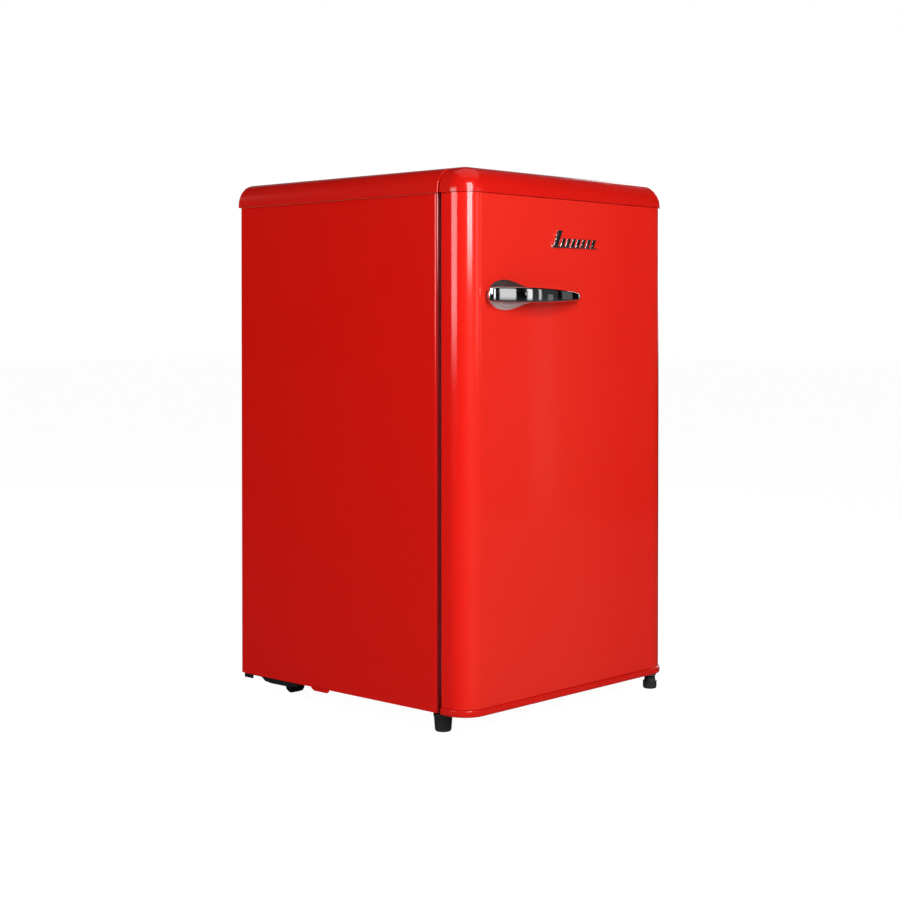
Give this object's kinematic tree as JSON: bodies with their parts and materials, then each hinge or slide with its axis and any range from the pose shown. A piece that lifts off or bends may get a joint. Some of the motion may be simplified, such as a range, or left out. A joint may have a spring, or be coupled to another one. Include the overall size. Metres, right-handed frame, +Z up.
{
  "type": "mini fridge",
  "caption": "Free-standing under-counter refrigerator in a retro shape: rounded caps, right-hinged door with a bowed lever handle, chiller box, glass shelves, crisper and rear condenser.",
  "frame": {"origin": "middle of the footprint box on the floor", "axes": "+Z up, the door faces -Y and is hinged on the +X side"},
  "size_m": [0.5056, 0.563, 0.85],
  "materials": {
    "red_steel": "gloss",
    "red_plastic": "gloss",
    "white_plastic": "satin",
    "clear_plastic": "gloss",
    "shelf_glass": "gloss",
    "white_rubber": "matte",
    "black_plastic": "matte",
    "black_steel": "satin",
    "zinc_steel": "satin",
    "aluminium": "satin",
    "chrome": "polished",
    "copper": "satin",
    "foam": "matte",
    "black_rubber": "matte"
  },
  "bodies": {
    "cabinet": {"side_panel_left": "red_steel", "side_panel_right": "red_steel", "top_cap": "red_plastic", "back_panel": "black_steel", "bottom_panel": "zinc_steel", "front_rail_top": "red_steel", "front_rail_bottom": "red_steel", "insulation_foam": "foam", "inner_liner": "white_plastic", "evaporator_box": "aluminium", "freezer_frame": "white_plastic", "crisper_cover_glass": "shelf_glass", "shelf_upper_glass": "shelf_glass", "shelf_upper_trim": "white_plastic", "shelf_lower_glass": "shelf_glass", "shelf_lower_trim": "white_plastic", "thermostat_housing": "white_plastic", "lamp_lens": "clear_plastic", "switch_housing": "white_plastic", "compressor_base": "black_steel", "compressor_shell": "black_steel", "compressor_grommet_1": "black_rubber", "compressor_grommet_2": "black_rubber", "compressor_grommet_3": "black_rubber", "compressor_grommet_4": "black_rubber", "relay_cover": "black_plastic", "evaporating_tray": "black_plastic", "condenser_coil": "black_steel", "filter_dryer": "copper", "suction_tube": "copper", "cord_gland": "black_rubber", "foot_bracket_left": "zinc_steel", "bottom_hinge_bracket": "zinc_steel", "bottom_hinge_pin": "zinc_steel", "top_hinge_bracket": "zinc_steel", "top_hinge_pin": "zinc_steel"},
    "door": {"door_skin": "red_steel", "door_top_cap": "red_plastic", "door_bottom_cap": "red_plastic", "door_foam": "foam", "door_liner": "white_plastic", "door_gasket": "white_rubber", "door_bin_upper": "clear_plastic", "door_bin_lower": "clear_plastic", "hinge_bush_top": "white_plastic", "hinge_bush_bottom": "white_plastic", "handle_base": "chrome", "handle_lever": "chrome", "emblem": "chrome"},
    "freezer_flap": {"freezer_door": "clear_plastic"},
    "chill_tray": {"chill_tray": "clear_plastic"},
    "crisper": {"crisper_drawer": "clear_plastic"},
    "thermostat_dial": {"thermostat_knob": "white_plastic"},
    "light_switch": {"light_switch_plunger": "white_plastic"},
    "foot_left": {"foot_left": "black_plastic", "foot_left_stud": "zinc_steel"},
    "foot_right": {"foot_right": "black_plastic", "foot_right_stud": "zinc_steel"},
    "roller_left": {"rear_roller_left": "black_plastic"},
    "roller_right": {"rear_roller_right": "black_plastic"}
  },
  "joints": [
    {"name": "door_hinge", "type": "hinge", "parent": "cabinet", "child": "door", "pos_m": [0.237, -0.222, 0], "axis": [0, 0, 1], "range_deg": [0, 110]},
    {"name": "freezer_flap_hinge", "type": "hinge", "parent": "cabinet", "child": "freezer_flap", "pos_m": [0, -0.0408, 0.771], "axis": [-1, 0, 0], "range_deg": [0, 88]},
    {"name": "chill_tray_slide", "type": "slide", "parent": "cabinet", "child": "chill_tray", "axis": [0, -1, 0], "range_m": [0, 0.12]},
    {"name": "crisper_slide", "type": "slide", "parent": "cabinet", "child": "crisper", "axis": [0, -1, 0], "range_m": [0, 0.08]},
    {"name": "thermostat_turn", "type": "hinge", "parent": "cabinet", "child": "thermostat_dial", "pos_m": [0.193, -0.063, 0.572], "axis": [0, -1, 0], "range_deg": [0, 270]},
    {"name": "light_switch_slide", "type": "slide", "parent": "cabinet", "child": "light_switch", "axis": [0, -1, 0], "range_m": [0, 0.0045]},
    {"name": "foot_left_turn", "type": "hinge", "parent": "cabinet", "child": "foot_left", "pos_m": [-0.228, -0.179, 0], "axis": [0, 0, 1], "continuous": true},
    {"name": "foot_right_turn", "type": "hinge", "parent": "cabinet", "child": "foot_right", "pos_m": [0.237, -0.222, 0], "axis": [0, 0, 1], "continuous": true},
    {"name": "roller_left_spin", "type": "hinge", "parent": "cabinet", "child": "roller_left", "pos_m": [-0.195, 0.193, 0.0115], "axis": [1, 0, 0], "continuous": true},
    {"name": "roller_right_spin", "type": "hinge", "parent": "cabinet", "child": "roller_right", "pos_m": [0.195, 0.193, 0.0115], "axis": [1, 0, 0], "continuous": true}
  ],
  "couplings": [
    {"joint": "light_switch_slide", "follows": "door_hinge", "m_per_rad": 0.00234}
  ]
}
